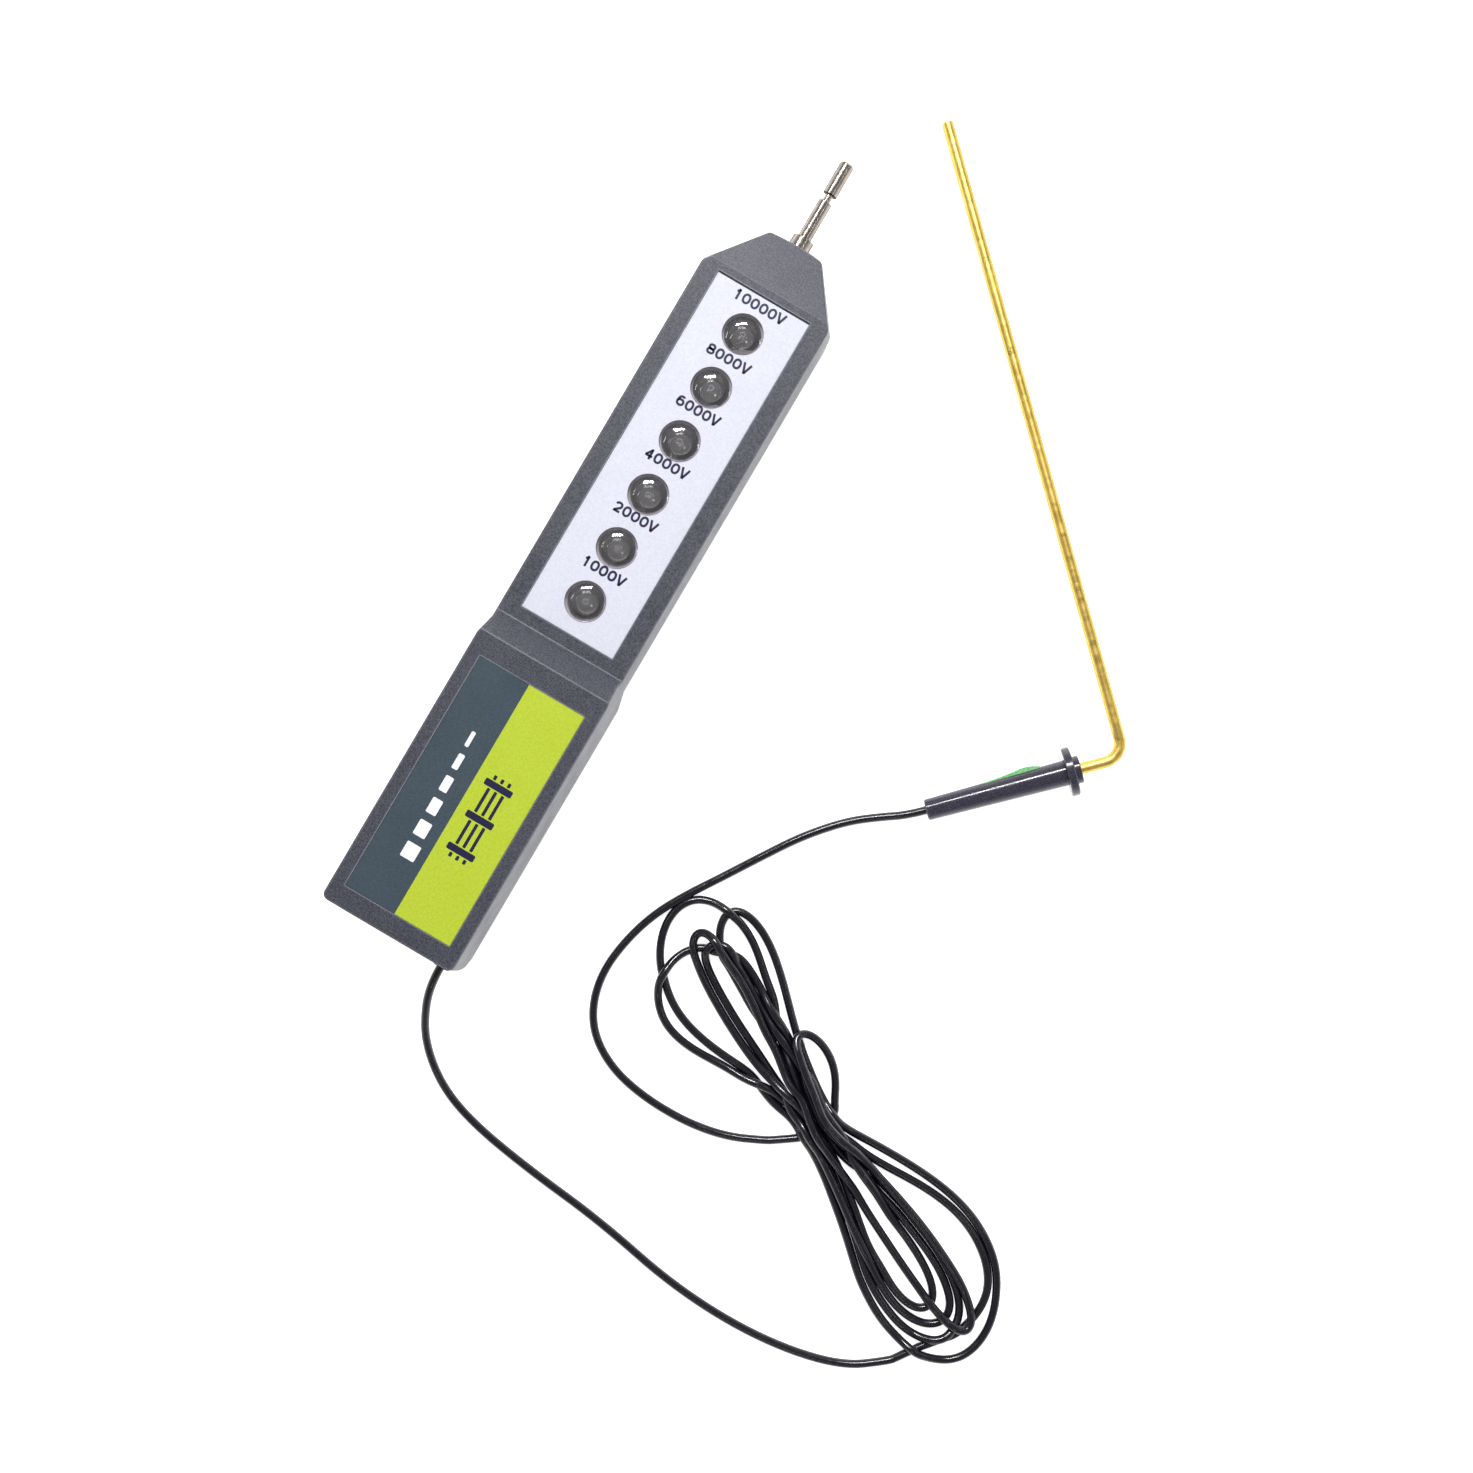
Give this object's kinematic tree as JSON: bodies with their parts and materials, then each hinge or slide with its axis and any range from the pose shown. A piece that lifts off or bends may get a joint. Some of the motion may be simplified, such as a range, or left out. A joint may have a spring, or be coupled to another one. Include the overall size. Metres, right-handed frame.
{
  "type": "fence voltage tester",
  "caption": "Hand-held fence voltage tester: stepped flat case with a row of clear neon lamp lenses, a metal contact pin, and a tied lead to a bent ground rod.",
  "frame": {"origin": "centre of the underside of the tester's bounding box, lead and ground probe left out; the tester lies on its back on z = 0", "axes": "+Y along the case from the lead's end to the contact pin, +Z out of the front face with the lenses, +X across the case to the right of the scale"},
  "size_m": [0.2073, 0.3001, 0.026],
  "materials": {
    "case_plastic": "fine spark-eroded texture",
    "scale_print": "white printed film, satin",
    "badge_print": "lime and slate printed film, satin",
    "clear_lens": "clear moulded, polished",
    "lamp_glass": "clear blown glass",
    "electrode_metal": "drawn wire",
    "baffle_plastic": "matte",
    "board_laminate": "bare laminate",
    "resistor_coat": "lacquered",
    "screw_steel": "zinc plated",
    "pin_plate": "bright nickel plate",
    "tag_tin": "tinned",
    "hookup_wire": "red insulation",
    "copper": "bare copper strand",
    "lead_jacket": "semi-gloss flexible jacket",
    "grip_plastic": "semi-gloss",
    "marker_green": "satin",
    "rod_brass": "drawn, lightly tarnished"
  },
  "bodies": {
    "root": {"front_cover": "case_plastic", "rear_cover": "case_plastic", "scale_panel": "scale_print", "handle_badge": "badge_print", "neon_electrodes": "electrode_metal", "lamp_baffle": "baffle_plastic", "circuit_board": "board_laminate", "series_resistors": "resistor_coat", "tap_resistors": "resistor_coat", "case_screws": "screw_steel", "board_screws": "screw_steel", "tip_probe": "pin_plate", "tip_ferrule": "pin_plate", "tip_nut": "screw_steel", "tip_washer": "screw_steel", "solder_tag": "tag_tin", "tip_wire": "hookup_wire", "lead_grommet": "lead_jacket", "lead_inner_end": "lead_jacket", "lead_core": "copper", "lead_clamp": "screw_steel", "clamp_screw": "screw_steel", "lead_tester_side": "lead_jacket", "lead_hank": "lead_jacket", "lead_probe_side": "lead_jacket", "probe_grip": "grip_plastic", "probe_guard": "grip_plastic", "probe_marker": "marker_green", "ground_rod": "rod_brass", "crimp_sleeve": "tag_tin", "probe_lead_end": "lead_jacket", "lens_1": "clear_lens", "lens_2": "clear_lens", "lens_3": "clear_lens", "lens_4": "clear_lens", "lens_5": "clear_lens", "lens_6": "clear_lens", "neon_lamp_1": "lamp_glass", "neon_lamp_2": "lamp_glass", "neon_lamp_3": "lamp_glass", "neon_lamp_4": "lamp_glass", "neon_lamp_5": "lamp_glass", "neon_lamp_6": "lamp_glass"}
  },
  "joints": []
}
